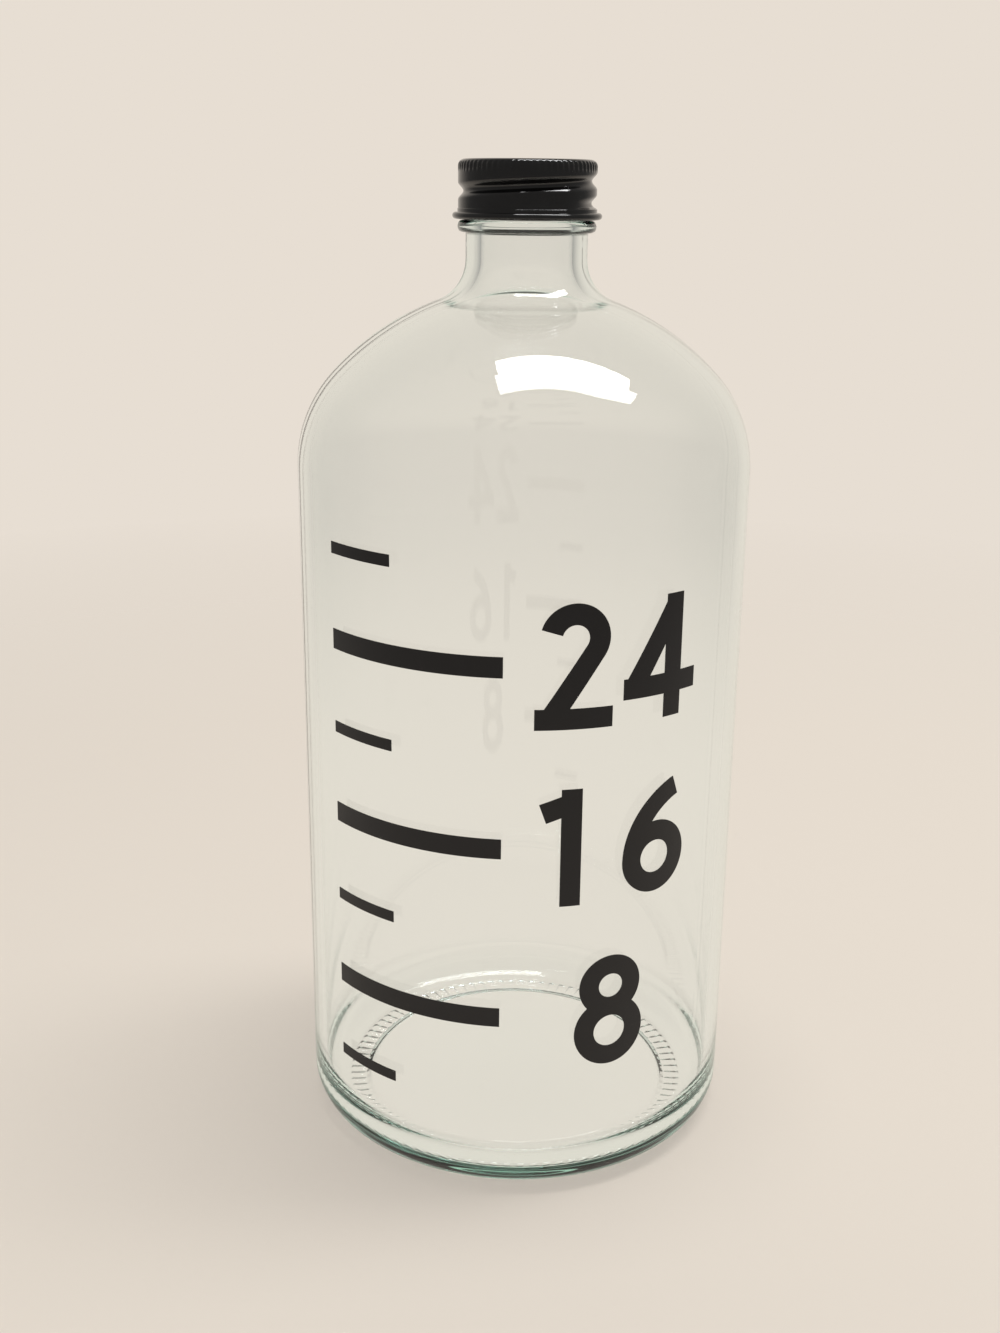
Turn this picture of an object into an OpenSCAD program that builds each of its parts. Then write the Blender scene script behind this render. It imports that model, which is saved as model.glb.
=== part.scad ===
// Growler: a clear glass bottle with a round body, a sloped shoulder and a short threaded finish,
// closed by a rolled metal screw cap with a pulp liner, and marked with a cut-film fill scale.
// Millimetres, +Z up. The origin is on the axis, on the plane that the bearing ring stands on,
// and the front of the fill scale faces -Y.

/* [Body] */
// Outside diameter of the body
body_d = 95; // [90:0.5:100]
// Height of the lip above the table
bottle_h = 207; // [198:1:225]
// Glass thickness of the body and shoulder
wall_t = 2.6; // [2:0.1:3.2]
// Radius of the heel, where the body turns under
heel_r = 7.4; // [5:0.2:9]
// Radius of the lower turn of the shoulder
turn_r = 28.6; // [24:0.2:32]
// Angle that the lower turn runs through, in degrees
turn_angle = 44; // [40:1:48]
// Radius of the long slope above that turn
slope_r = 58; // [54:0.5:64]
// Radius of the sweep from the slope into the neck
sweep_r = 8.8; // [6:0.2:12]
// Radius of the sweep inside the glass, where the bore opens into the shoulder
inner_sweep_r = 11; // [5:0.5:12]

/* [Base] */
// Width of the flat ring that the bottle stands on
bearing_w = 4.6; // [3:0.2:6]
// Height of the small step inside the bearing ring
push_step = 0.8; // [0.4:0.1:1.2]
// Height of the push-up at its middle
push_h = 3.6; // [2:0.2:6]
// Glass thickness at the middle of the base
base_t = 3.6; // [2.4:0.2:7]
// Glass thickness over the bearing ring
heel_t = 3.4; // [2.4:0.2:7]
// Width of the inside corner between wall and base
inner_heel_r = 7; // [4:0.5:12]
// Height over which the wall thickens towards the base in that corner
settle_h = 11; // [6:0.5:16]
// Number of grooves in the stippled bearing ring
stipple_n = 90; // [60:1:110]
// Depth of those grooves
stipple_depth = 0.3; // [0.15:0.05:0.4]

/* [Finish] */
// Outside diameter of the neck, which is also the root of the thread
neck_d = 24.8; // [24.2:0.1:25.4]
// Bore of the mouth and neck
mouth_d = 18.6; // [16:0.2:20]
// Length of straight neck below the bead
neck_h = 5.1; // [3:0.1:9]
// Outside diameter of the bead under the cap
bead_d = 28.1; // [27:0.1:29]
// Height of the bead
bead_h = 2.4; // [1.8:0.1:2.8]
// Distance from the lip down to the middle of the bead
bead_drop = 11.3; // [11:0.1:13]
// Rounding of the lip's outer edge
lip_r = 0.8; // [0.4:0.1:1.1]
// Rounding of the lip's inner edge
lip_inner_r = 0.6; // [0.3:0.1:0.9]

/* [Thread] */
// Rise of the thread in one turn, six turns to the inch
pitch = 4.233; // [4.15:0.01:4.5]
// Height of the thread above its root
thread_depth = 1.05; // [0.9:0.01:1.08]
// Width of the thread at its root
thread_w = 2.1; // [1.8:0.05:2.3]
// Full-height length of the glass thread, in degrees
thread_sweep = 390; // [300:5:420]
// Length over which a thread fades out at each end, in degrees
fade = 45; // [30:5:60]
// Distance from the lip down to the top end of the thread's centre line
thread_drop = 2.1; // [1.9:0.05:2.4]
// Running clearance between the cap and the glass
thread_gap = 0.3; // [0.2:0.02:0.36]

/* [Cap] */
// Thickness of the tinplate
cap_t = 0.25; // [0.2:0.01:0.3]
// Outside height of the cap
cap_h = 11.55; // [11.2:0.05:11.8]
// Rounding of the cap's top edge
cap_edge_r = 1.2; // [0.8:0.1:1.6]
// Number of knurls around the cap
knurl_n = 70; // [50:1:80]
// Depth of the grooves between the knurls
knurl_depth = 0.15; // [0.08:0.01:0.18]
// Height of the knurled band, from the cap's top down
knurl_h = 2.8; // [2:0.1:3]
// Width of the groove that is rolled into the cap
groove_w = 1.9; // [1.6:0.05:2]
// Full-depth length of the rolled groove, in degrees
groove_sweep = 390; // [330:5:400]
// Radius of the wire-like curl at the cap's bottom edge
curl_r = 0.7; // [0.5:0.02:0.8]
// How far the curl stands out past the skirt
curl_out = 1.14; // [0.9:0.02:1.3]
// How far the last millimetre of skirt above the curl is set out
skirt_step = 0.12; // [0.06:0.01:0.2]

/* [Liner] */
// Thickness of the pulp board
board_t = 1.2; // [0.8:0.05:1.6]
// Thickness of the facing film
facing_t = 0.15; // [0.1:0.01:0.25]
// Radial clearance between the liner and the cap
liner_gap = 0.3; // [0.2:0.05:0.6]

/* [Fill scale] */
// Thickness of the cut film
film_t = 0.15; // [0.1:0.01:0.3]
// Volume between two numbered marks in millilitres, which is 8 fluid ounces
mark_ml = 236.6; // [215:0.1:250]
// Height of the numerals
numeral_h = 25; // [16:0.5:28]
// Stroke width of the numerals and of the long bars
stroke = 4.2; // [2.6:0.1:4.8]
// Angle round the body from the front to the middle of the numerals
numeral_angle = 24; // [20:1:34]
// Angle round the body from the front to the left end of the bars
bar_start = 52; // [44:1:60]
// Angle that a long bar runs through
bar_sweep = 48; // [30:1:52]
// Angle that a short tick runs through
tick_sweep = 20; // [10:1:28]
// Height of a short tick
tick_h = 2.4; // [1.5:0.1:4]

/* [Hidden] */
$fn = 96;

glass_color = [0.86, 0.93, 0.88, 0.45];
lacquer_color = [0.03, 0.03, 0.035];
pulp_color = [0.80, 0.77, 0.68];
facing_color = [0.94, 0.94, 0.92];
film_color = [0.015, 0.015, 0.018];

arc_step = 4;      // degrees between two points of a profile arc
helix_step = 7.5;  // degrees between two rings of a helix
thread_root = 0.4; // how deep the thread is rooted in the glass

body_r = body_d / 2;
inner_r = body_r - wall_t;
neck_r = neck_d / 2;
mouth_r = mouth_d / 2;
neck_base_z = bottle_h - bead_drop - bead_h / 2 - neck_h;

// The shoulder is a chain of tangent arcs, worked out from the neck down.
turn_x = body_r - turn_r;
slope_x = turn_x + (turn_r - slope_r) * cos(turn_angle);
slope_z = neck_base_z - sqrt(pow(slope_r + sweep_r, 2) - pow(neck_r + sweep_r - slope_x, 2));
turn_z = slope_z - (turn_r - slope_r) * sin(turn_angle);

// The underside, from the push-up out to the bearing ring.
bearing_outer_r = body_r - heel_r;
bearing_inner_r = bearing_outer_r - bearing_w;
push_r = bearing_inner_r - push_step;
floor_r = inner_r - inner_heel_r;
floor_top = push_h + base_t;

// The helix of the glass thread, and the cap's groove half a pitch below it.
crest_r = neck_r + thread_depth;
thread_top_z = bottle_h - thread_drop;
thread_top_angle = -150;

cap_inner_r = crest_r + thread_gap;
cap_r = cap_inner_r + cap_t;
liner_bottom_z = bottle_h;
board_bottom_z = liner_bottom_z + facing_t;
cap_roof_z = board_bottom_z + board_t;
cap_top_z = cap_roof_z + cap_t;
cap_bottom_z = cap_top_z - cap_h;
curl_z = cap_bottom_z + curl_r;
groove_depth = cap_r - cap_t - (neck_r + thread_gap);
groove_top_angle = 15;
liner_r = cap_inner_r - liner_gap;
roof_edge_r = cap_edge_r - cap_t;
roll_root = cap_t * 0.8;
knurl_cutter_r = 0.45;

// Where the liquid stands inside, at a volume in millilitres.
dome_share = 0.5 - 2 / pow(PI, 2);
dome_volume = PI * pow(floor_r, 2) * (floor_top - heel_t) * dome_share;
corner_volume = 2 * PI * (1 - PI / 4) * inner_heel_r * settle_h * (inner_r - 0.22 * inner_heel_r);
function fill_z(ml) = heel_t + (ml * 1000 + dome_volume + corner_volume) / (PI * pow(inner_r, 2));

// Points of a circular arc in the profile plane, from angle a to angle b.
function arc(x, z, r, a, b) =
    let (n = max(2, ceil(abs(b - a) / arc_step)))
    [for (i = [0:n]) let (t = a + (b - a) * i / n) [x + r * cos(t), z + r * sin(t)]];

// Points of a flat-sided bulge on a vertical wall, from the bottom up or the top down.
function bulge(x, z, out, half, from = -90) =
    [for (i = [0:12]) let (t = from * (1 - i / 6)) [x + out * sqrt(abs(cos(t))), z + half * sin(t)]];

// Points of a smooth dome that levels out at its middle and at its rim.
function dome(r, rim_z, top_z, from, to) =
    [for (i = [0:16]) let (x = from + (to - from) * i / 16)
        [x, rim_z + (top_z - rim_z) * (1 + cos(180 * x / r)) / 2]];

// The shoulder and neck sweep for a wall set in by w, ending at a neck of radius n.
function shoulder(w, n, blend) =
    let (
        x = n + blend,
        z = slope_z + sqrt(pow(slope_r - w + blend, 2) - pow(x - slope_x, 2)),
        top = atan2(z - slope_z, x - slope_x)
    )
    concat(
        arc(turn_x, turn_z, turn_r - w, 0, turn_angle),
        arc(slope_x, slope_z, slope_r - w, turn_angle, top),
        arc(x, z, blend, 180 + top, 180)
    );

// Points of one ring of a helix at angle a: half an ellipse on a wall of radius r, rooted in it.
function helix_ring(r, a, z, out, half, root) = [for (p = concat(
        [[r - root, z - half]],
        [for (i = [0:8]) let (t = -90 + 22.5 * i) [r + out * cos(t), z + half * sin(t)]],
        [[r - root, z + half]]))
    [p[0] * cos(a), p[0] * sin(a), p[1]]];

// How much of its depth a helix has at s degrees from one end.
function faded(s, length) =
    pow(sin(90 * min(1, s / fade, (length - s) / fade)), 2);

// A ridge that climbs a wall of radius r, given by its top end. A negative depth makes it stand
// inwards. Its ends sink below the wall, so that they fade out without a step.
module helix(r, depth, half, root, top_angle, top_z, sweep) {
    length = sweep + 2 * fade;
    steps = ceil(length / helix_step);
    side = sign(depth);
    sink = side * root / 3;
    rings = [for (i = [0:steps])
        let (s = length * i / steps, a = top_angle + fade - length + s)
        helix_ring(r - sink, a, top_z + (a - top_angle) / 360 * pitch,
                   (depth + sink) * faded(s, length), half, side * root)];
    n = len(rings[0]);
    function corner(i, j) = i * n + (j % n);
    skin = [for (i = [0:steps - 1]) for (j = [0:n - 1]) each [
        [corner(i, j), corner(i, j + 1), corner(i + 1, j + 1)],
        [corner(i, j), corner(i + 1, j + 1), corner(i + 1, j)]]];
    ends = [[for (j = [0:n - 1]) n - 1 - j], [for (j = [0:n - 1]) corner(steps, j)]];
    faces = concat(skin, ends);
    polyhedron([for (ring = rings) each ring],
               side > 0 ? faces : [for (f = faces) [for (k = [1:len(f)]) f[len(f) - k]]]);
}

// The groove's centre line passes half a pitch below the thread's at every angle.
function groove_z(angle) = thread_top_z + (angle - thread_top_angle) / 360 * pitch - pitch / 2;

module bottle_profile() {
    polygon(concat(
        // underside
        dome(push_r, push_step, push_h, 0, push_r),
        [[bearing_inner_r, 0]],
        arc(bearing_outer_r, heel_r, heel_r, -90, 0),
        // outside
        shoulder(0, neck_r, sweep_r),
        bulge(neck_r, bottle_h - bead_drop, bead_d / 2 - neck_r, bead_h / 2),
        arc(neck_r - lip_r, bottle_h - lip_r, lip_r, 0, 90),
        // inside
        arc(mouth_r + lip_inner_r, bottle_h - lip_inner_r, lip_inner_r, 90, 180),
        reversed(shoulder(wall_t, mouth_r, inner_sweep_r)),
        [for (p = arc(0, 0, 1, 0, -90)) [floor_r + inner_heel_r * p[0], heel_t + settle_h * (1 + p[1])]],
        dome(floor_r, heel_t, floor_top, floor_r, 0)
    ));
}

function reversed(list) = [for (i = [1:len(list)]) list[len(list) - i]];

module stipple() {
    cutter_r = 0.6;
    for (i = [0:stipple_n - 1])
        rotate([0, 0, 360 * i / stipple_n])
            translate([bearing_inner_r + 0.5, 0, stipple_depth - cutter_r])
                rotate([0, 90, 0])
                    cylinder(r = cutter_r, h = bearing_w - 1);
}

module glass_bottle() {
    color(glass_color)
        difference() {
            union() {
                rotate_extrude() bottle_profile();
                helix(neck_r, thread_depth, thread_w / 2, thread_root,
                      thread_top_angle, thread_top_z, thread_sweep);
            }
            stipple();
        }
}

// The right half of a disc's section: radius r, from z up to top, with its top edge rounded.
module rounded_half(r, z, top, edge) {
    intersection() {
        translate([0, z]) square([r, top - z]);
        union() {
            translate([0, z]) square([r, top - edge - z]);
            translate([0, z]) square([r - edge, top - z]);
            translate([r - edge, top - edge]) circle(edge);
        }
    }
}

module cap_profile() {
    difference() {
        union() {
            rounded_half(cap_r, curl_z, cap_top_z, cap_edge_r);
            translate([0, curl_z]) square([cap_r + skirt_step, 2 * curl_r]);
            translate([cap_r + curl_out - curl_r, curl_z]) circle(curl_r);
        }
        rounded_half(cap_inner_r, cap_bottom_z - 1, cap_roof_z, roof_edge_r);
    }
}

// The cutter of one groove between two knurls: up the wall, then over the rounded edge.
module knurl_cutter() {
    off = knurl_cutter_r - knurl_depth;
    translate([cap_r + off, 0, cap_top_z - knurl_h])
        cylinder(r = knurl_cutter_r, h = knurl_h);
    translate([cap_r - cap_edge_r, 0, cap_top_z - cap_edge_r])
        rotate([0, 45, 0])
            translate([-cap_edge_r, 0, cap_edge_r + off])
                rotate([0, 90, 0])
                    cylinder(r = knurl_cutter_r, h = 2 * cap_edge_r);
}

module cap_shell() {
    groove_top_z = groove_z(groove_top_angle);
    color(lacquer_color)
        difference() {
            union() {
                rotate_extrude() cap_profile();
                helix(cap_inner_r, -groove_depth, groove_w / 2 + cap_t, roll_root,
                      groove_top_angle, groove_top_z, groove_sweep);
            }
            helix(cap_r, -groove_depth, groove_w / 2, roll_root,
                  groove_top_angle, groove_top_z, groove_sweep);
            for (i = [0:knurl_n - 1])
                rotate([0, 0, 360 * i / knurl_n])
                    knurl_cutter();
        }
}

module liner_board() {
    color(pulp_color)
        rotate_extrude()
            rounded_half(liner_r, board_bottom_z, cap_roof_z, roof_edge_r);
}

module liner_facing() {
    color(facing_color)
        translate([0, 0, liner_bottom_z])
            cylinder(r = liner_r, h = facing_t);
}

// A strip of film from angle a, measured to the right of the front, through the angle sweep.
module film_strip(a, sweep, z, h) {
    color(film_color)
        rotate([0, 0, a - 90])
            rotate_extrude(angle = sweep)
                translate([body_r, z - h / 2]) square([film_t, h]);
}

// Wraps a flat figure, drawn upright round its own middle, onto the body at angle a and height z.
module film_figure(a, z) {
    color(film_color)
        intersection() {
            rotate([0, 0, a])
                translate([0, -body_r / 2, z])
                    rotate([90, 0, 0])
                        linear_extrude(body_r)
                            children();
            rotate_extrude()
                translate([body_r, z - numeral_h])
                    square([film_t, 2 * numeral_h]);
        }
}

module level_bar(count) {
    film_strip(-bar_start, bar_sweep, fill_z(count * mark_ml), stroke);
}

module half_ticks() {
    for (count = [0.5:1:3.5])
        film_strip(-bar_start, tick_sweep, fill_z(count * mark_ml), tick_h);
}

// A bent ribbon of the stroke's width along a path.
function ribbon(path) =
    let (
        last = len(path) - 1,
        side = [for (i = [0:last])
            let (d = path[min(i + 1, last)] - path[max(i - 1, 0)])
            [-d[1], d[0]] / norm(d) * stroke / 2]
    )
    concat([for (i = [0:last]) path[i] + side[i]], reversed([for (i = [0:last]) path[i] - side[i]]));

// Numerals are numeral_h tall, drawn round their own middle.
low_r = (numeral_h + stroke) * 0.265;
high_r = (numeral_h + stroke) / 2 - low_r;
low_y = low_r - numeral_h / 2;
high_y = numeral_h / 2 - high_r;

module loop(r, y) {
    translate([0, y])
        difference() {
            circle(r);
            circle(r - stroke);
        }
}

module digit_1() {
    square([stroke, numeral_h], center = true);
    polygon(ribbon([[-low_r * 0.75, numeral_h * 0.3], [0, numeral_h / 2 - stroke * 0.7]]));
}

module digit_2() {
    bend = high_r - stroke / 2;
    foot = stroke / 2 - numeral_h / 2;
    polygon(ribbon(concat(arc(0, high_y, bend, 165, -38), [[-low_r + stroke * 0.7, foot]])));
    translate([-low_r, -numeral_h / 2]) square([2 * low_r, stroke]);
}

module digit_4() {
    post_x = low_r * 0.35;
    bar_y = -numeral_h * 0.22;
    translate([post_x - stroke / 2, -numeral_h / 2]) square([stroke, numeral_h]);
    translate([-low_r - stroke / 4, bar_y - stroke / 2]) square([2 * low_r + stroke / 2, stroke]);
    polygon(ribbon([[post_x, numeral_h / 2 - stroke / 2], [-low_r + stroke / 4, bar_y]]));
}

module digit_6() {
    bend = numeral_h - low_r - stroke / 2;
    loop(low_r, low_y);
    polygon(ribbon(arc(bend + stroke / 2 - low_r, low_y, bend, 180, 108)));
}

module digit_8() {
    loop(low_r, low_y);
    loop(high_r, high_y);
}

// Two digits stand side by side, a third of a stroke apart or more.
digit_angle = (2 * low_r + stroke * 0.8) / body_r / PI * 180 / 2;

module numeral_8() {
    film_figure(numeral_angle, fill_z(mark_ml)) digit_8();
}

module numeral_16() {
    film_figure(numeral_angle - digit_angle, fill_z(2 * mark_ml)) digit_1();
    film_figure(numeral_angle + digit_angle, fill_z(2 * mark_ml)) digit_6();
}

module numeral_24() {
    film_figure(numeral_angle - digit_angle, fill_z(3 * mark_ml)) digit_2();
    film_figure(numeral_angle + digit_angle, fill_z(3 * mark_ml)) digit_4();
}

glass_bottle();
cap_shell();
liner_board();
liner_facing();
level_bar(1);  // level_bar_8
level_bar(2);  // level_bar_16
level_bar(3);  // level_bar_24
half_ticks();
numeral_8();
numeral_16();
numeral_24();
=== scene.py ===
"""Growler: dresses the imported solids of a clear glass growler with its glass, lacquer and film.

Laid out as an add-on: each piece is made by an operator of its own, from the sizes and colours in
the property groups, and the panel lists them. Run as a script, it makes the whole scene.
"""

import math

import bpy
import numpy as np
from bpy.props import FloatProperty, FloatVectorProperty, IntProperty, PointerProperty
from mathutils import Matrix, Vector


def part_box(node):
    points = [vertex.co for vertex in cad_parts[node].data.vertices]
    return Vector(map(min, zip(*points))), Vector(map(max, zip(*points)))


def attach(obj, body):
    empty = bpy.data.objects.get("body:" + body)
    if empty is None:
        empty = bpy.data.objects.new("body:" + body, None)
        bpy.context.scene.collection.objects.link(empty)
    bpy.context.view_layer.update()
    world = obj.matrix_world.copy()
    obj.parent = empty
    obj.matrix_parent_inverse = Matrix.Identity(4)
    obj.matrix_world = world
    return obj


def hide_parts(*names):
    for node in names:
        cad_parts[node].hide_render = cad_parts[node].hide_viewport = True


bl_info = {
    "name": "Growler",
    "version": (1, 0, 0),
    "blender": (4, 5, 0),
    "location": "View3D > Sidebar > Growler",
    "description": "Makes a clear glass growler with a rolled metal screw cap and a fill scale",
    "category": "Add Mesh",
}

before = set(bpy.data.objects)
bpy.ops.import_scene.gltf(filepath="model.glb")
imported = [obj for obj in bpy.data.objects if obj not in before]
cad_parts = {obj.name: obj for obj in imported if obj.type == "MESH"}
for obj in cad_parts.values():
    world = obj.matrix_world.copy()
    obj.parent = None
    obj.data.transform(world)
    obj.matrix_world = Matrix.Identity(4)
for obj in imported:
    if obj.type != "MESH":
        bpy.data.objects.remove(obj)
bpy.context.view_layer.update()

MM = 0.001
NEAR = 1e-6  # points of an outline this close, in metres, are at the same place
GLASS_LOW, GLASS_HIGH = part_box("glass_bottle")
CAP_LOW, CAP_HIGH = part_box("cap_shell")
FILM_NODES = ("level_bar_8", "level_bar_16", "level_bar_24", "half_ticks",
              "numeral_8", "numeral_16", "numeral_24")


# --- Sizes and colours that a user would change ---------------------------------------------------

def length(name, description, default):
    """A length property, in metres."""
    return FloatProperty(name=name, description=description, default=default, min=0.0,
                         unit="LENGTH", subtype="DISTANCE", precision=5)


def colour(name, description, default):
    """A colour property, in linear values."""
    return FloatVectorProperty(name=name, description=description, default=default, size=3,
                               min=0.0, max=1.0, subtype="COLOR")


def share(name, description, default):
    """A property that runs from 0 to 1."""
    return FloatProperty(name=name, description=description, default=default, min=0.0, max=1.0,
                         subtype="FACTOR")


class BottleSizes(bpy.types.PropertyGroup):
    """Sizes of the glass."""
    body_radius: length("Body radius", "Outside radius of the body", GLASS_HIGH.x)
    height: length("Height", "Height of the lip above the table", GLASS_HIGH.z)
    wall: length("Wall", "Glass thickness of body and shoulder", 2.6 * MM)
    heel_radius: length("Heel radius", "Radius where the body turns under", 7.4 * MM)
    turn_radius: length("Turn radius", "Radius of the shoulder's lower turn", 28.6 * MM)
    turn_angle: FloatProperty(name="Turn angle", description="Angle of the lower turn",
                              default=math.radians(44), subtype="ANGLE", unit="ROTATION")
    slope_radius: length("Slope radius", "Radius of the shoulder's long slope", 58 * MM)
    sweep_radius: length("Sweep radius", "Radius of the sweep into the neck", 8.8 * MM)
    inner_sweep_radius: length("Inner sweep radius", "Where the bore opens into the shoulder",
                               11 * MM)
    bearing_width: length("Bearing width", "Width of the ring that it stands on", 4.6 * MM)
    push_step: length("Push-up step", "Step inside the bearing ring", 0.8 * MM)
    push_height: length("Push-up height", "Height of the push-up at its middle", 3.6 * MM)
    base_thickness: length("Base thickness", "Glass at the middle of the base", 3.6 * MM)
    heel_thickness: length("Heel thickness", "Glass over the bearing ring", 3.4 * MM)
    inner_heel_width: length("Inner heel width", "Width of the inside corner of the base", 7 * MM)
    settle_height: length("Settle height", "Height over which the wall thickens there", 11 * MM)
    stipple_count: IntProperty(name="Stipple count", description="Grooves in the bearing ring",
                               default=90, min=12)
    stipple_depth: length("Stipple depth", "Depth of those grooves", 0.3 * MM)
    neck_radius: length("Neck radius", "Outside radius of neck and thread root", 12.4 * MM)
    mouth_radius: length("Mouth radius", "Radius of the bore", 9.3 * MM)
    neck_height: length("Neck height", "Straight neck below the bead", 5.1 * MM)
    bead_radius: length("Bead radius", "Outside radius of the bead", 14.05 * MM)
    bead_height: length("Bead height", "Height of the bead", 2.4 * MM)
    bead_drop: length("Bead drop", "From the lip to the middle of the bead", 11.3 * MM)
    lip_rounding: length("Lip rounding", "Rounding of the lip's outer edge", 0.8 * MM)
    lip_inner_rounding: length("Inner lip rounding", "Rounding of the lip's inner edge", 0.6 * MM)
    pitch: length("Pitch", "Rise of the thread in one turn", 4.233 * MM)
    thread_depth: length("Thread depth", "Height of the thread", 1.05 * MM)
    thread_width: length("Thread width", "Width of the thread at its root", 2.1 * MM)
    thread_drop: length("Thread drop", "From the lip to the thread's top end", 2.1 * MM)
    waviness: length("Waviness", "Wave of the inside, which reaches next to nothing of it", 0.09 * MM)
    seam_height: length("Seam height", "Height of the mould's seam lines", 0.05 * MM)


class CapSizes(bpy.types.PropertyGroup):
    """Sizes of the cap."""
    thickness: length("Thickness", "Thickness of the tinplate", 0.25 * MM)
    radius: length("Radius", "Outside radius of the cap's wall", 14 * MM)
    height: length("Height", "Outside height of the cap", CAP_HIGH.z - CAP_LOW.z)
    edge_radius: length("Edge radius", "Rounding of the top edge", 1.4 * MM)
    inner_edge: length("Inner edge radius", "Rounding inside the top edge", 0.95 * MM)
    knurl_count: IntProperty(name="Knurls", description="Knurls around the cap", default=70, min=8)
    knurl_depth: length("Knurl depth", "Depth between two knurls", 0.17 * MM)
    knurl_height: length("Knurl height", "Height of the knurled band", 2.8 * MM)
    groove_depth: length("Groove depth", "Depth of the rolled groove", 1.05 * MM)
    groove_width: length("Groove width", "Width of the rolled groove", 3.4 * MM)
    curl_radius: length("Curl radius", "Radius of the rolled bottom edge", 0.7 * MM)
    skirt_step: length("Skirt step", "Set-out of the skirt above the curl", 0.12 * MM)


class Finishes(bpy.types.PropertyGroup):
    """Colours of the finishes."""
    glass_tint: colour("Glass tint", "What a long way through the glass leaves of white light",
                       (0.10, 0.80, 0.60))
    glass_depth: FloatProperty(name="Glass depth", description="Strength of the tint, per metre",
                               default=10.0, min=0.0)
    lacquer: colour("Lacquer", "Black lacquer of the cap", (0.004, 0.004, 0.004))
    film: colour("Film", "Black film of the fill scale", (0.006, 0.005, 0.006))
    board: colour("Board", "Pulp board of the liner", (0.50, 0.43, 0.32))
    facing: colour("Facing", "Facing film of the liner", (0.82, 0.81, 0.78))


class StageSettings(bpy.types.PropertyGroup):
    """Floor, lamps and camera."""
    floor: colour("Floor", "Colour of the floor", (0.74, 0.67, 0.58))
    floor_glow: share("Floor glow", "Share of the backdrop's tone in the floor as seen", 0.55)
    floor_reach: length("Floor reach", "Where the floor has faded into the backdrop", 0.65)
    backdrop: colour("Backdrop", "Colour behind the growler", (0.80, 0.73, 0.65))
    room: colour("Room", "Colour of the room in front and at the sides", (0.28, 0.27, 0.26))
    key_power: FloatProperty(name="Key power", description="Power of each lamp overhead",
                             default=6.0, min=0.0, unit="POWER")
    key_height: length("Key height", "Height of the lamps overhead", 1.2)
    lens: FloatProperty(name="Lens", description="Focal length in millimetres", default=40.9, min=1.0)
    distance: length("Camera distance", "From the axis to the camera", 0.3191)
    camera_height: length("Camera height", "Height of the camera above the floor", 0.2041)
    yaw: FloatProperty(name="Yaw", description="Turn of the camera to its right",
                       default=-0.01429, subtype="ANGLE", unit="ROTATION")
    pitch: FloatProperty(name="Pitch", description="Tilt of the camera below level",
                         default=0.30936, subtype="ANGLE", unit="ROTATION")
    roll: FloatProperty(name="Roll", description="Roll of the camera",
                        default=0.01016, subtype="ANGLE", unit="ROTATION")


# --- Outlines and turned meshes -------------------------------------------------------------------

def arc(x, z, radius, start, end, step=2.0):
    """Points of a circular arc in the outline plane, from one angle to another in degrees."""
    count = max(2, math.ceil(abs(end - start) / step))
    turn = np.radians(np.linspace(start, end, count + 1))
    return np.column_stack((x + radius * np.cos(turn), z + radius * np.sin(turn)))


def line(start, end, spacing):
    """Evenly spaced points from one point of the outline plane to another."""
    start, end = np.array(start, float), np.array(end, float)
    count = max(1, math.ceil(np.linalg.norm(end - start) / spacing))
    return start + (end - start) * np.linspace(0.0, 1.0, count + 1)[:, None]


def dome(radius, rim_z, top_z, start, end, count=24):
    """Points of a dome that levels out at its middle and at its rim."""
    r = np.linspace(start, end, count + 1)
    return np.column_stack((r, rim_z + (top_z - rim_z) * (1 + np.cos(math.pi * r / radius)) / 2))


def outline(*stretches):
    """Joins stretches of points and drops the doubled ones."""
    points = np.vstack(stretches)
    apart = np.linalg.norm(np.diff(points, axis=0), axis=1) > 1e-7
    return points[np.concatenate(([True], apart))]


def smooth(x):
    """Runs from 0 to 1 without a corner as x does."""
    x = np.clip(x, 0.0, 1.0)
    return x * x * (3 - 2 * x)


def helix_offset(z, turn, top_z, top_angle, pitch, sweep, fade):
    """How far below or above a helix's centre line each point lies, and how deep the helix is there.

    The angles are in degrees. top_z and top_angle give the top end of its full depth."""
    at_height = top_angle + (z - top_z) / pitch * 360
    along = turn + 360 * np.round((at_height - turn) / 360)
    offset = z - (top_z + (along - top_angle) / 360 * pitch)
    from_top = top_angle + fade - along
    total = sweep + 2 * fade
    depth = smooth(from_top / fade) * smooth((total - from_top) / fade)
    return offset, depth


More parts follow.
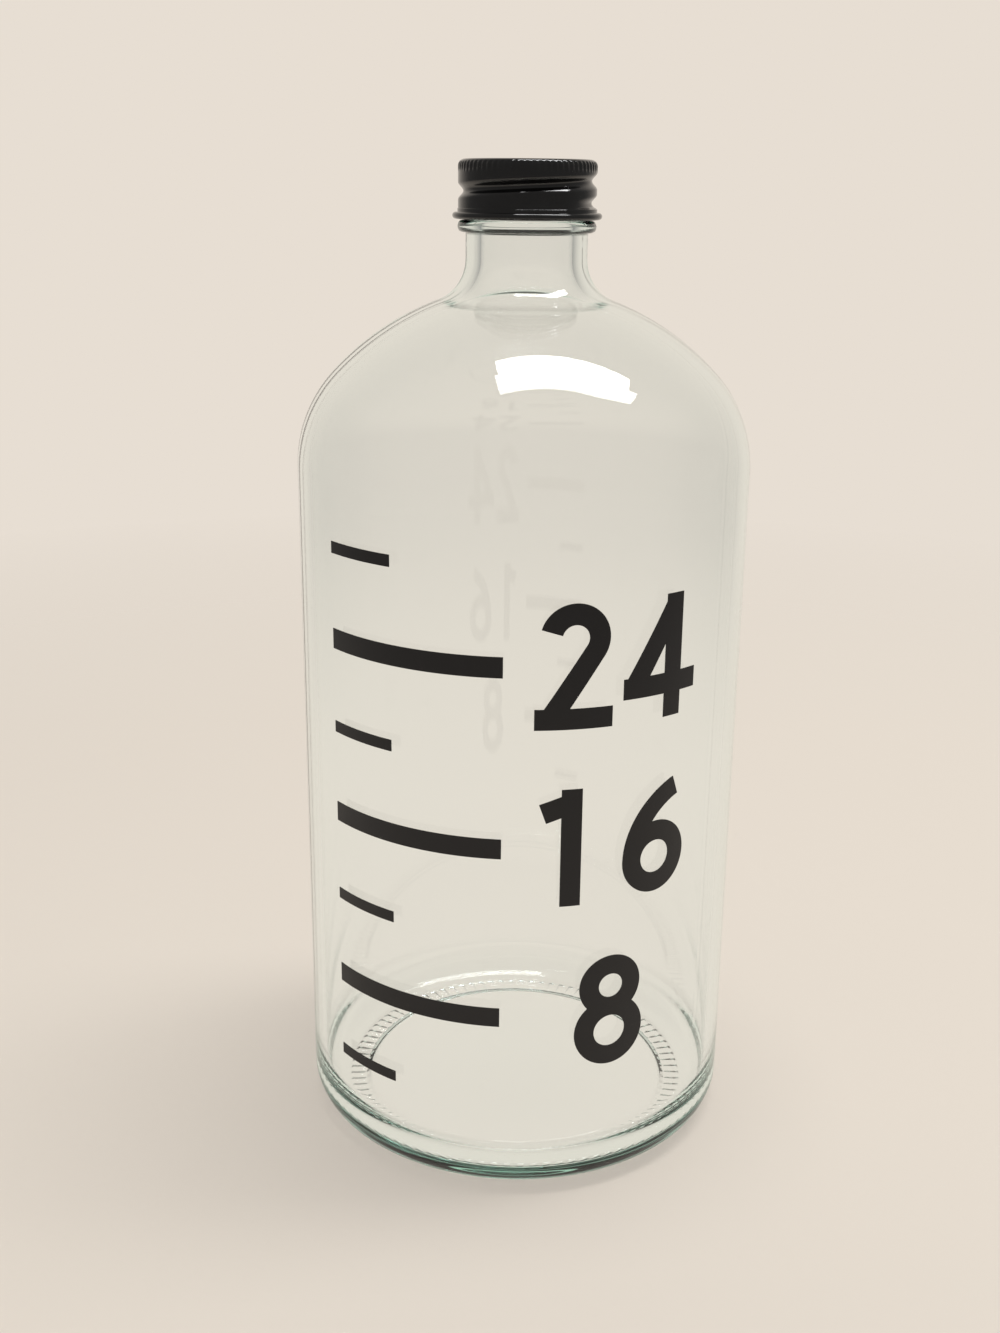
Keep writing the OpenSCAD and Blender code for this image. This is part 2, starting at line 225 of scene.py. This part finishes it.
def turned_mesh(name, points, columns, shape):
    """Turns an outline that starts and ends on the axis, and lets shape move every point of it.

    shape takes the radii and heights as a column, the angles in degrees as a row, and gives both
    back with their changes."""
    turn = np.arange(columns) * 360.0 / columns
    rings = points[1:-1]
    r, z = shape(rings[:, :1], rings[:, 1:], turn[None, :])
    angle = np.radians(turn)[None, :]
    body = np.stack((r * np.cos(angle), r * np.sin(angle), z), axis=-1).reshape(-1, 3)
    poles = np.array([[0.0, 0.0, points[0, 1]], [0.0, 0.0, points[-1, 1]]])
    vertices = np.vstack((body, poles))
    count = len(rings)
    ring = np.arange(count - 1)[:, None] * columns
    here = np.arange(columns)[None, :]
    after = (here + 1) % columns
    quads = np.stack((ring + here, ring + after, ring + columns + after, ring + columns + here),
                     axis=-1).reshape(-1, 4)
    first, last = count * columns, count * columns + 1
    here, after = here[0], after[0]
    top = (count - 1) * columns
    fans = [(first, b, a) for a, b in zip(here, after)]
    fans += [(last, top + a, top + b) for a, b in zip(here, after)]
    mesh = bpy.data.meshes.new(name)
    mesh.from_pydata(vertices.tolist(), [], quads.tolist() + [tuple(map(int, f)) for f in fans])
    mesh.polygons.foreach_set("use_smooth", np.ones(len(mesh.polygons), bool))
    mesh.update()
    piece = bpy.data.objects.new(name, mesh)
    bpy.context.scene.collection.objects.link(piece)
    return piece


def shoulder(s, set_in, throat, blend):
    """The outline of shoulder and neck sweep, for a wall that is set in from the outside."""
    turn_angle = math.degrees(s.turn_angle)
    turn_x = s.body_radius - s.turn_radius
    gap = s.turn_radius - s.slope_radius
    slope_x = turn_x + gap * math.cos(s.turn_angle)
    neck_z = s.height - s.bead_drop - s.bead_height / 2 - s.neck_height
    reach = s.slope_radius + s.sweep_radius
    slope_z = neck_z - math.sqrt(reach ** 2 - (s.neck_radius + s.sweep_radius - slope_x) ** 2)
    turn_z = slope_z - gap * math.sin(s.turn_angle)
    x = throat + blend
    z = slope_z + math.sqrt((s.slope_radius - set_in + blend) ** 2 - (x - slope_x) ** 2)
    top = math.degrees(math.atan2(z - slope_z, x - slope_x))
    return np.vstack((arc(turn_x, turn_z, s.turn_radius - set_in, 0, turn_angle),
                      arc(slope_x, slope_z, s.slope_radius - set_in, turn_angle, top, 1.0),
                      arc(x, z, blend, 180 + top, 180, 4.0)))


def bottle_outline(s):
    """The whole outline of the glass, from the push-up round the outside and back to the floor."""
    bearing_outer = s.body_radius - s.heel_radius
    bearing_inner = bearing_outer - s.bearing_width
    push_radius = bearing_inner - s.push_step
    inner_radius = s.body_radius - s.wall
    floor_radius = inner_radius - s.inner_heel_width
    corner = arc(0.0, 0.0, 1.0, 0, -90, 3.0)
    corner = corner * (s.inner_heel_width, s.settle_height) + (floor_radius, s.heel_thickness +
                                                               s.settle_height)
    floor_top = s.push_height + s.base_thickness
    outside = shoulder(s, 0.0, s.neck_radius, s.sweep_radius)
    inside = shoulder(s, s.wall, s.mouth_radius, s.inner_sweep_radius)
    bead_z = s.height - s.bead_drop
    half_bead = s.bead_height / 2
    around = np.radians(np.linspace(-90, 90, 37))
    out = np.sqrt(np.abs(np.cos(around)))
    bead = np.column_stack((s.neck_radius + (s.bead_radius - s.neck_radius) * out,
                            bead_z + half_bead * np.sin(around)))
    lip_z = s.height - s.lip_rounding
    return outline(
        dome(push_radius, s.push_step, s.push_height, 0.0, push_radius),
        line((bearing_inner, 0.0), (bearing_outer, 0.0), 0.46 * MM),
        arc(bearing_outer, s.heel_radius, s.heel_radius, -90, 0, 3.0),
        line((s.body_radius, s.heel_radius), outside[0], 5 * MM),
        outside,
        line(outside[-1], (s.neck_radius, bead_z - half_bead), 0.35 * MM),
        bead,
        line((s.neck_radius, bead_z + half_bead), (s.neck_radius, lip_z), 0.14 * MM),
        arc(s.neck_radius - s.lip_rounding, lip_z, s.lip_rounding, 0, 90, 9.0),
        arc(s.mouth_radius + s.lip_inner_rounding, s.height - s.lip_inner_rounding,
            s.lip_inner_rounding, 90, 180, 15.0),
        line((s.mouth_radius, s.height - s.lip_inner_rounding), inside[-1], 2 * MM),
        inside[::-1],
        line(inside[0], corner[0], 4 * MM),
        corner,
        dome(floor_radius, s.heel_thickness, floor_top, floor_radius, 0.0),
    )


# Angles are in degrees, counterclockwise from +X seen from above.
THREAD_SWEEP = 390.0
THREAD_TOP_ANGLE = -150.0
THREAD_FADE = 45.0
GROOVE_TOP_ANGLE = 15.0
THREAD_CREST_POWER = 0.7
STIPPLE_HALF_WIDTH = 0.25  # as a share of the grooves' spacing
STIPPLE_FADE = 0.6 * MM
# A guess, turned off the sides so that the seams stay inside the solids' box. They still stand
# seam_height proud of the solid's surface.
SEAM_ANGLE = 8.0
SEAM_HALF_WIDTH = 0.35 * MM
SEAM_LEAST_ANGLE = 0.9
RING_LINE_DROP = 3.4 * MM
RING_LINE_HALF_WIDTH = 0.25 * MM
RING_LINE_REACH = 1e-5  # past the neck's radius
WAVE_SEED = 11
WAVES_ROUND = (2, 3, 4, 5, 7, 9, 12)
WAVE_LENGTHS = (20, 75)  # in millimetres
WAVE_FOOT, WAVE_FOOT_FADE = 12 * MM, 30 * MM
WAVE_TOP, WAVE_TOP_FADE = 25 * MM, 25 * MM


def bottle_shape(s):
    """What the mould and the blowing add to the plain outline of the glass."""
    bearing_outer = s.body_radius - s.heel_radius
    bearing_inner = bearing_outer - s.bearing_width
    bead_top = s.height - s.bead_drop + s.bead_height / 2
    inner_radius = s.body_radius - s.wall
    draw = np.random.default_rng(WAVE_SEED)
    waves = [(m, draw.uniform(*WAVE_LENGTHS), draw.uniform(0, 2 * math.pi),
              draw.uniform(0, 2 * math.pi)) for m in WAVES_ROUND]

    def shape(r, z, turn):
        r0, z0 = r + 0 * turn, z + 0 * turn
        r, z = r0.copy(), z0.copy()
        # the thread
        offset, depth = helix_offset(z0, turn, s.height - s.thread_drop, THREAD_TOP_ANGLE,
                                     s.pitch, THREAD_SWEEP, THREAD_FADE)
        ridge = np.clip(1 - (2 * offset / s.thread_width) ** 2, 0, 1) ** THREAD_CREST_POWER
        on_finish = (r0 > s.neck_radius - s.lip_rounding) & (z0 > bead_top - NEAR)
        r += np.where(on_finish, s.thread_depth * ridge * depth, 0.0)
        # the stipple of the bearing ring
        groove = np.abs((turn * s.stipple_count / 360 + 0.5) % 1.0 - 0.5)
        across = (smooth((r0 - bearing_inner) / STIPPLE_FADE) *
                  smooth((bearing_outer - r0) / STIPPLE_FADE))
        cut = s.stipple_depth * np.clip(1 - (groove / STIPPLE_HALF_WIDTH) ** 2, 0, 1)
        z += np.where(z0 < NEAR, cut * across, 0)
        # the seams of the mould's two halves, and the ring line where the neck mould begins. The
        # test is by radius and height alone, so the seams are on the inner wall of the glass too
        away = np.abs((turn - SEAM_ANGLE + 90) % 180.0 - 90)
        seamed = (r0 > s.neck_radius - NEAR) & (z0 > s.heel_radius) & (z0 < bead_top)
        width = SEAM_HALF_WIDTH / np.maximum(r0, s.neck_radius) * 180 / math.pi
        seam = np.exp(-(away / np.maximum(width, SEAM_LEAST_ANGLE)) ** 2)
        ring_z = s.height - s.bead_drop - RING_LINE_DROP
        ring_line = (np.exp(-((z0 - ring_z) / RING_LINE_HALF_WIDTH) ** 2) *
                     (r0 < s.neck_radius + RING_LINE_REACH))
        r += np.where(seamed, s.seam_height * np.maximum(seam, ring_line), 0.0)
        # the blown inside was meant to wander a little. The seams' test takes in the inner wall, so
        # the wave is left only where it has all but faded out, and the inside is in effect even
        inside = (r0 < inner_radius + NEAR) & (z0 > s.heel_thickness - NEAR) & (r0 < r0.max())
        blown = (smooth((z0 - WAVE_FOOT) / WAVE_FOOT_FADE) *
                 smooth((s.height - WAVE_TOP - z0) / WAVE_TOP_FADE))
        wave = sum(np.sin(m * np.radians(turn) + a) * np.sin(z0 / MM / w + b) / math.sqrt(m)
                   for m, w, a, b in waves)
        r += np.where(inside & ~seamed, s.waviness * wave * blown, 0.0)
        return r, z
    return shape


def cap_outline(s):
    """The outline of the cap's tinplate, from the top's middle down the outside and up the inside."""
    top = CAP_HIGH.z
    bottom = top - s.height
    inner = s.radius - s.thickness
    inner_edge = s.inner_edge
    curl_x = inner + s.curl_radius
    curl_z = bottom + s.curl_radius
    skirt = s.radius + s.skirt_step
    skirt_top = curl_z + 2 * s.curl_radius
    joint = math.degrees(math.acos((skirt - curl_x) / s.curl_radius))
    curl = arc(curl_x, curl_z, s.curl_radius, joint, -180, 8.0)
    return outline(
        line((0.0, top), (s.radius - s.edge_radius, top), 2 * MM),
        arc(s.radius - s.edge_radius, top - s.edge_radius, s.edge_radius, 90, 0, 5.0),
        line((s.radius, top - s.edge_radius), (s.radius, skirt_top), 0.12 * MM),
        arc(skirt - s.skirt_step, skirt_top - s.skirt_step, s.skirt_step, 80, 0, 20.0),
        line((skirt, skirt_top - s.skirt_step), curl[0], 0.3 * MM),
        curl,
        line((inner, curl_z), (inner, top - s.thickness - inner_edge), 0.16 * MM),
        arc(inner - inner_edge, top - s.thickness - inner_edge, inner_edge, 0, 90, 15.0),
        line((inner - inner_edge, top - s.thickness), (0.0, top - s.thickness), 3 * MM),
    )


KNURL_HALF_WIDTH = 0.34  # of the cut between two knurls, as a share of their spacing
KNURL_FOOT_FADE = 1.4 * MM
KNURL_TOP_SLOPE = math.radians(54)
KNURL_TOP_FADE = 0.5  # in radians
GROOVE_FOOT_FADE = 0.4 * MM
GROOVE_TOP_FADE = 0.6 * MM
GROOVE_REACH = 0.6 * MM


def cap_shape(s, bottle):
    """The knurls and the rolled groove of the cap."""
    top = CAP_HIGH.z
    band_z = top - s.knurl_height
    skirt_top = top - s.height + 3 * s.curl_radius
    thread_z = bottle.height - bottle.thread_drop
    groove_z = thread_z + (GROOVE_TOP_ANGLE - THREAD_TOP_ANGLE) / 360 * bottle.pitch - bottle.pitch / 2

    def shape(r, z, turn):
        r0, z0 = r + 0 * turn, z + 0 * turn
        edge_x, edge_z = s.radius - s.edge_radius, top - s.edge_radius
        # knurls stand on the wall and run over the rounded edge
        slope = np.arctan2(np.maximum(z0 - edge_z, 0), np.maximum(r0 - edge_x, 1e-9))
        outer = (r0 > edge_x + NEAR) & ((z0 > top - s.thickness) |
                                        (np.hypot(r0 - edge_x, np.maximum(z0 - edge_z, 0)) >
                                         s.edge_radius - s.thickness / 2))
        between = np.abs((turn * s.knurl_count / 360) % 1.0 - 0.5)
        cut = s.knurl_depth * np.clip(1 - (between / KNURL_HALF_WIDTH) ** 2, 0, 1)
        reach = (smooth((z0 - band_z) / KNURL_FOOT_FADE) *
                 smooth((KNURL_TOP_SLOPE - slope) / KNURL_TOP_FADE))
        cut = np.where(outer, cut * reach, 0.0)
        # the groove is rolled through the sheet, so inside and outside move together
        offset, depth = helix_offset(z0, turn, groove_z, GROOVE_TOP_ANGLE, bottle.pitch,
                                     THREAD_SWEEP, THREAD_FADE)
        roll = np.cos(np.pi * np.clip(offset / s.groove_width, -0.5, 0.5)) ** 2
        on_wall = (r0 > s.radius - s.thickness - NEAR) & (z0 > skirt_top - GROOVE_REACH)
        room = (smooth((z0 - skirt_top) / GROOVE_FOOT_FADE) *
                smooth((edge_z - z0) / GROOVE_TOP_FADE))
        rolled = np.where(on_wall, s.groove_depth * roll * depth * room, 0.0)
        return r0 - cut * np.cos(slope) - rolled, z0 - cut * np.sin(slope)
    return shape


# --- Finishes -------------------------------------------------------------------------------------

MIX_COLOUR_SOCKETS = (6, 7)  # a Mix node's inputs for its two colours


class Value:
    """A shader socket that can be reckoned with, so that a finish reads as plain arithmetic."""

    def __init__(self, finish, socket):
        self.finish = finish
        self.socket = socket

    def reckon(self, operation, a, b):
        """Adds the Math node of one operation."""
        return self.finish.node("ShaderNodeMath", {"operation": operation}, {0: a, 1: b})

    def __add__(self, other):
        return self.reckon("ADD", self, other)

    def __radd__(self, other):
        return self.reckon("ADD", other, self)

    def __mul__(self, other):
        return self.reckon("MULTIPLY", self, other)

    def __rmul__(self, other):
        return self.reckon("MULTIPLY", other, self)


class Finish:
    """A material, or the world, built up from nodes."""

    def __init__(self, name, tree=None):
        self.material = None
        if tree is None:
            self.material = bpy.data.materials.new(name)
            self.material.use_nodes = True
            tree = self.material.node_tree
        self.tree = tree
        tree.nodes.clear()

    def node(self, kind, settings=None, sockets=None, output=0):
        """Adds a node: its settings first, then its sockets' values or links. Gives one output."""
        made = self.tree.nodes.new(kind)
        for key, value in (settings or {}).items():
            setattr(made, key, value)
        for key, value in (sockets or {}).items():
            socket = made.inputs[key]
            if isinstance(value, Value):
                self.tree.links.new(value.socket, socket)
            else:
                socket.default_value = value
        return Value(self, made.outputs[output]) if made.outputs else made

    def place(self):
        """Where a point of the piece is, in metres."""
        return self.node("ShaderNodeTexCoord", output="Object")

    def noise(self, scale, detail=3.0, roughness=0.5, place=None):
        """A cloudy pattern from 0 to 1, with so many blobs to the metre."""
        return self.node("ShaderNodeTexNoise", None,
                         {"Vector": place or self.place(), "Scale": scale, "Detail": detail,
                          "Roughness": roughness})

    def stretched(self, x, y, z):
        """Places stretched along the axes, for patterns that run one way."""
        return self.node("ShaderNodeVectorMath", {"operation": "MULTIPLY"},
                         {0: self.place(), 1: (x, y, z)})

    def spread(self, value, low, high, to_low, to_high):
        """Spreads a range of a pattern over another range."""
        return self.node("ShaderNodeMapRange", {"clamp": True},
                         {"Value": value, "From Min": low, "From Max": high,
                          "To Min": to_low, "To Max": to_high})

    def mix(self, factor, a, b):
        """A colour between two others."""
        made = self.node("ShaderNodeMix", {"data_type": "RGBA"}, {"Factor": factor}, output=2)
        mixer = made.socket.node
        for index, shade in zip(MIX_COLOUR_SOCKETS, (a, b)):
            if isinstance(shade, Value):
                self.tree.links.new(shade.socket, mixer.inputs[index])
            else:
                mixer.inputs[index].default_value = (*shade[:3], 1.0)
        return made

    def bump(self, height, distance):
        """A normal from a height pattern whose full depth is distance."""
        return self.node("ShaderNodeBump", None,
                         {"Height": height, "Distance": distance, "Strength": 1.0})

    def shade(self, sockets, volume=None):
        """Ends the material with one Principled shader."""
        surface = self.node("ShaderNodeBsdfPrincipled", None, sockets)
        ends = {"Surface": surface}
        if volume is not None:
            ends["Volume"] = volume
        self.node("ShaderNodeOutputMaterial", None, ends)
        return self.material


def opaque(rgb):
    """A colour with full opacity."""
    return (rgb[0], rgb[1], rgb[2], 1.0)


def flint_glass(finishes):
    """Clear bottle glass, even all over: nearly colourless across a wall, green where it is thick."""
    finish = Finish("flint_glass")
    tint = finish.node("ShaderNodeVolumeAbsorption", None,
                       {"Color": opaque(finishes.glass_tint), "Density": finishes.glass_depth})
    return finish.shade({"Base Color": (1.0, 1.0, 1.0, 1.0), "Roughness": 0.0, "IOR": 1.52,
                         "Transmission Weight": 1.0}, tint)


def black_lacquer(finishes):
    """Gloss lacquer on tinplate, with a faint orange peel and fine streaks round the cap."""
    finish = Finish("black_lacquer")
    peel = finish.noise(900.0, 2.0)
    haze = finish.noise(240.0, 4.0, 0.6)
    streaks = finish.noise(60.0, 5.0, 0.7, finish.stretched(1.0, 1.0, 22.0))
    tone = finish.mix(finish.spread(haze, 0.45, 0.75, 0.0, 1.0), finishes.lacquer,
                      [c * 1.8 + 0.002 for c in finishes.lacquer])
    return finish.shade({
        "Base Color": tone,
        "Roughness": finish.spread(haze, 0.3, 0.7, 0.05, 0.11),
        "IOR": 1.5,
        "Specular IOR Level": 0.55,
        "Normal": finish.bump(peel * 0.8 + streaks * 0.4, 0.012 * MM),
    })


def cut_film(finishes):
    """Satin black adhesive film, with a slight grain and slightly paler clouds."""
    finish = Finish("cut_film")
    grain = finish.noise(2600.0, 2.0)
    cloud = finish.noise(120.0, 4.0, 0.6)
    tone = finish.mix(finish.spread(cloud, 0.4, 0.8, 0.0, 0.7), finishes.film,
                      [c * 1.9 + 0.003 for c in finishes.film])
    return finish.shade({
        "Base Color": tone,
        "Roughness": finish.spread(cloud, 0.3, 0.7, 0.34, 0.46),
        "IOR": 1.46,
        "Normal": finish.bump(grain, 0.01 * MM),
    })


def pulp_board(finishes):
    """Pressed pulp: matt and flecked, with a fine rough grain."""
    finish = Finish("pulp_board")
    grain = finish.noise(1400.0, 5.0, 0.7, finish.stretched(1.0, 1.0, 0.4))
    flecks = finish.noise(700.0, 2.0, 0.4)
    tone = finish.mix(finish.spread(flecks, 0.45, 0.7, 0.0, 1.0),
                      [c * 0.82 for c in finishes.board], finishes.board)
    return finish.shade({
        "Base Color": tone,
        "Roughness": 0.9,
        "Normal": finish.bump(grain, 0.06 * MM),
    })


def facing_film(finishes):
    """White facing film, smooth and faintly cloudy."""
    finish = Finish("facing_film")
    cloud = finish.noise(300.0, 3.0)
    tone = finish.mix(finish.spread(cloud, 0.3, 0.7, 0.0, 1.0),
                      [c * 0.93 for c in finishes.facing], finishes.facing)
    return finish.shade({
        "Base Color": tone,
        "Roughness": finish.spread(cloud, 0.3, 0.7, 0.25, 0.4),
        "Normal": finish.bump(cloud, 0.03 * MM),
    })


def floor_paint(settings):
    """A plain pale floor, very slightly uneven in tone, that fades into the backdrop."""
    finish = Finish("pale_floor")
    cloud = finish.noise(9.0, 4.0)
    tone = finish.mix(finish.spread(cloud, 0.3, 0.7, 0.0, 1.0),
                      [c * 0.985 for c in settings.floor], settings.floor)
    paint = finish.node("ShaderNodeBsdfPrincipled", None,
                        {"Base Color": tone, "Roughness": 0.75, "Specular IOR Level": 0.2})
    # part of what the camera and the glass see of the floor is the backdrop's own even tone
    rays = [finish.node("ShaderNodeLightPath", output=f"Is {kind} Ray")
            for kind in ("Camera", "Glossy", "Transmission")]
    glow = finish.node("ShaderNodeEmission", None, {"Color": opaque(settings.backdrop)})
    paint = finish.node("ShaderNodeMixShader", None,
                        {0: (rays[0] + rays[1] + rays[2]) * settings.floor_glow, 1: paint, 2: glow})
    clear = finish.node("ShaderNodeBsdfTransparent")
    away = finish.node("ShaderNodeVectorMath", {"operation": "LENGTH"}, {0: finish.place()},
                       output="Value")
    fade = finish.spread(away, settings.floor_reach * FADE_START, settings.floor_reach, 0.0, 1.0)
    surface = finish.node("ShaderNodeMixShader", None, {0: fade, 1: paint, 2: clear})
    finish.node("ShaderNodeOutputMaterial", None, {"Surface": surface})
    return finish.material


def wear(node, material):
    """Gives a CAD node's object its finish."""
    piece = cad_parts[node]
    for slot in piece.material_slots:
        slot.material = material
    if not piece.material_slots:
        piece.data.materials.append(material)


def finished(piece, material, body, slot, *nodes):
    """Dresses a new piece, lets it ride and hides the nodes it stands for."""
    piece.data.materials.append(material)
    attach(piece, body)
    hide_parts(*nodes)


# --- Operators ------------------------------------------------------------------------------------

class GROWLER_OT_bottle(bpy.types.Operator):
    """Make the glass with its thread, bead, seams and stippled bearing ring"""
    bl_idname = "growler.bottle"
    bl_label = "Glass Bottle"

    def execute(self, context):
        sizes = context.scene.growler_bottle
        columns = sizes.stipple_count * 4
        piece = turned_mesh("bottle_glass", bottle_outline(sizes), columns, bottle_shape(sizes))
        finished(piece, flint_glass(context.scene.growler_finishes), "bottle", "flint_glass",
                 "glass_bottle")
        return {"FINISHED"}


class GROWLER_OT_cap(bpy.types.Operator):
    """Make the rolled metal cap with its knurls, groove and curl"""
    bl_idname = "growler.cap"
    bl_label = "Screw Cap"

    def execute(self, context):
        sizes = context.scene.growler_cap
        points = cap_outline(sizes)
        shape = cap_shape(sizes, context.scene.growler_bottle)
        piece = turned_mesh("cap_tinplate", points, sizes.knurl_count * 8, shape)
        finished(piece, black_lacquer(context.scene.growler_finishes), "cap", "black_lacquer",
                 "cap_shell")
        return {"FINISHED"}


class GROWLER_OT_liner(bpy.types.Operator):
    """Finish the liner's pulp board and facing film"""
    bl_idname = "growler.liner"
    bl_label = "Liner"

    def execute(self, context):
        wear("liner_board", pulp_board(context.scene.growler_finishes))
        wear("liner_facing", facing_film(context.scene.growler_finishes))
        return {"FINISHED"}


class GROWLER_OT_fill_scale(bpy.types.Operator):
    """Finish the cut film of the fill scale"""
    bl_idname = "growler.fill_scale"
    bl_label = "Fill Scale"

    def execute(self, context):
        film = cut_film(context.scene.growler_finishes)
        for node in FILM_NODES:
            wear(node, film)
        return {"FINISHED"}


FLOOR_MARGIN = 1.05
FADE_START = 0.4  # where the floor starts to fade, as a share of its reach
KEY_TURN = math.radians(10.2)
KEY_MIDDLE = (0.289, 0.064)
KEY_DEPTH = 0.14
# each lamp's name, its shift across and along the pair, and its length
KEY_LAMPS = (("key_far", 0.07, -0.01, 0.88), ("key_near", -0.07, 0.02, 1.0))
BACKDROP_EDGE, BACKDROP_FULL = 0.3, 0.93  # how far towards +Y a direction points
SENSOR_WIDTH = 36.0
GLASS_BOUNCES = 32
GLOSSY_BOUNCES = 16


def add_floor(settings):
    """A wide pale floor that fades into the backdrop."""
    half = settings.floor_reach * FLOOR_MARGIN
    mesh = bpy.data.meshes.new("floor")
    mesh.from_pydata([(-half, -half, 0), (half, -half, 0), (half, half, 0), (-half, half, 0)], [],
                     [(0, 1, 2, 3)])
    floor = bpy.data.objects.new("floor", mesh)
    floor.location.z = GLASS_LOW.z
    bpy.context.scene.collection.objects.link(floor)
    mesh.materials.append(floor_paint(settings))


def add_key(settings):
    """Two long soft lamps side by side overhead, which face straight down."""
    along = Vector((math.cos(KEY_TURN), math.sin(KEY_TURN), 0.0))
    across = Vector((-math.sin(KEY_TURN), math.cos(KEY_TURN), 0.0))
    middle = Vector((*KEY_MIDDLE, settings.key_height))
    for name, side, shift, size in KEY_LAMPS:
        lamp = bpy.data.lights.new(name, "AREA")
        lamp.shape = "RECTANGLE"
        lamp.size, lamp.size_y = size, KEY_DEPTH
        lamp.energy = settings.key_power
        item = bpy.data.objects.new(name, lamp)
        item.location = middle + across * side + along * shift
        item.rotation_euler.z = KEY_TURN
        bpy.context.scene.collection.objects.link(item)


def add_world(settings):
    """A pale backdrop behind the growler, in a dimmer room that is as even and plain."""
    world = bpy.data.worlds.new("studio")
    bpy.context.scene.world = world
    world.use_nodes = True
    finish = Finish("studio", world.node_tree)
    heading = finish.node("ShaderNodeTexCoord", output="Generated")
    back = finish.node("ShaderNodeSeparateXYZ", None, {"Vector": heading}, output="Y")
    near_back = finish.node("ShaderNodeMapRange", {"interpolation_type": "SMOOTHSTEP"},
                            {"Value": back, "From Min": BACKDROP_EDGE, "From Max": BACKDROP_FULL})
    tone = finish.mix(near_back, settings.room, settings.backdrop)
    background = finish.node("ShaderNodeBackground", None, {"Color": tone, "Strength": 1.0})
    finish.node("ShaderNodeOutputWorld", None, {"Surface": background})


def add_camera(settings):
    """A camera in front of the fill scale, at the height of the cap, tilted down."""
    data = bpy.data.cameras.new("camera")
    data.lens = settings.lens
    data.sensor_width = SENSOR_WIDTH
    data.clip_start = 0.01
    ahead = Vector((math.sin(settings.yaw) * math.cos(settings.pitch),
                    math.cos(settings.yaw) * math.cos(settings.pitch), -math.sin(settings.pitch)))
    side = Vector((math.cos(settings.yaw), -math.sin(settings.yaw), 0.0))
    up = side.cross(ahead)
    across = math.cos(settings.roll) * side + math.sin(settings.roll) * up
    above = -math.sin(settings.roll) * side + math.cos(settings.roll) * up
    camera = bpy.data.objects.new("camera", data)
    turn = Matrix((across, above, -ahead)).transposed().to_4x4()
    camera.matrix_world = Matrix.Translation((0, -settings.distance, settings.camera_height)) @ turn
    bpy.context.scene.collection.objects.link(camera)
    bpy.context.scene.camera = camera


class GROWLER_OT_stage(bpy.types.Operator):
    """Set the pale floor, the soft lamps and the camera"""
    bl_idname = "growler.stage"
    bl_label = "Stage"

    def execute(self, context):
        settings = context.scene.growler_stage
        add_floor(settings)
        add_world(settings)
        add_camera(settings)
        add_key(settings)
        context.scene.view_settings.view_transform = "Standard"
        context.scene.cycles.max_bounces = GLASS_BOUNCES
        context.scene.cycles.transmission_bounces = GLASS_BOUNCES
        context.scene.cycles.glossy_bounces = GLOSSY_BOUNCES
        return {"FINISHED"}


class GROWLER_PT_panel(bpy.types.Panel):
    """The growler's pieces and settings"""
    bl_idname = "GROWLER_PT_panel"
    bl_label = "Growler"
    bl_space_type = "VIEW_3D"
    bl_region_type = "UI"
    bl_category = "Growler"

    def draw(self, context):
        for operator in OPERATORS:
            self.layout.operator(operator.bl_idname)
        for name, group in GROUPS.items():
            box = self.layout.box()
            for field in group.__annotations__:
                box.prop(getattr(context.scene, name), field)


GROUPS = {"growler_bottle": BottleSizes, "growler_cap": CapSizes,
          "growler_finishes": Finishes, "growler_stage": StageSettings}
OPERATORS = (GROWLER_OT_bottle, GROWLER_OT_cap, GROWLER_OT_liner, GROWLER_OT_fill_scale,
             GROWLER_OT_stage)


def register():
    """Registers the classes and gives the scene its settings."""
    for item in (*GROUPS.values(), *OPERATORS, GROWLER_PT_panel):
        bpy.utils.register_class(item)
    for name, group in GROUPS.items():
        setattr(bpy.types.Scene, name, PointerProperty(type=group))


def unregister():
    """Takes the settings and the classes away again."""
    for name in GROUPS:
        delattr(bpy.types.Scene, name)
    for item in reversed((*GROUPS.values(), *OPERATORS, GROWLER_PT_panel)):
        bpy.utils.unregister_class(item)


def main():
    """Makes every piece."""
    register()
    bpy.ops.growler.bottle()
    bpy.ops.growler.cap()
    bpy.ops.growler.liner()
    bpy.ops.growler.fill_scale()
    bpy.ops.growler.stage()


if __name__ == "__main__":
    main()
